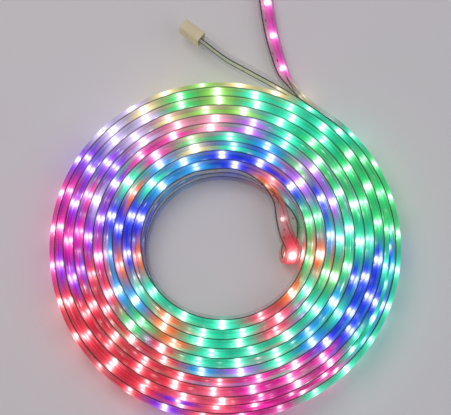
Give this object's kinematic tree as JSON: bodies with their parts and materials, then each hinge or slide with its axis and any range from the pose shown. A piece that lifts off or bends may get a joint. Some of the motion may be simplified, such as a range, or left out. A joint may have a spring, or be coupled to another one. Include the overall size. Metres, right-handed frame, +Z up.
{
  "type": "led strip light",
  "caption": "Clear sealed LED strip folded at its middle and wound into a flat two-layer coil, with a capped tail and an open tail at the rim.",
  "frame": {"origin": "middle of the whole object's box, at the height of the floor it lies on", "axes": "+Z up along the coil's axis, +Y towards the side where both tails leave the rim"},
  "size_m": [0.312, 0.4774, 0.0296],
  "materials": {
    "pvc": "clear, smooth extruded PVC",
    "cap": "cream, slightly translucent, moulded",
    "circuit": "white solder resist on a thin film",
    "wire": "dark, seen through the jacket",
    "led": "white package with a clear lens"
  },
  "bodies": {
    "root": {"pvc_jacket": "pvc", "end_cap": "cap", "capped_tail_circuit": "circuit", "capped_tail_wire_upper": "wire", "capped_tail_wire_lower": "wire", "capped_tail_led_1": "led", "capped_tail_led_2": "led", "capped_tail_led_3": "led", "capped_tail_led_4": "led", "open_tail_circuit": "circuit", "open_tail_wire_upper": "wire", "open_tail_wire_lower": "wire", "open_tail_led_1": "led", "open_tail_led_2": "led", "open_tail_led_3": "led", "open_tail_led_4": "led", "open_tail_led_5": "led", "open_tail_led_6": "led"}
  },
  "joints": []
}
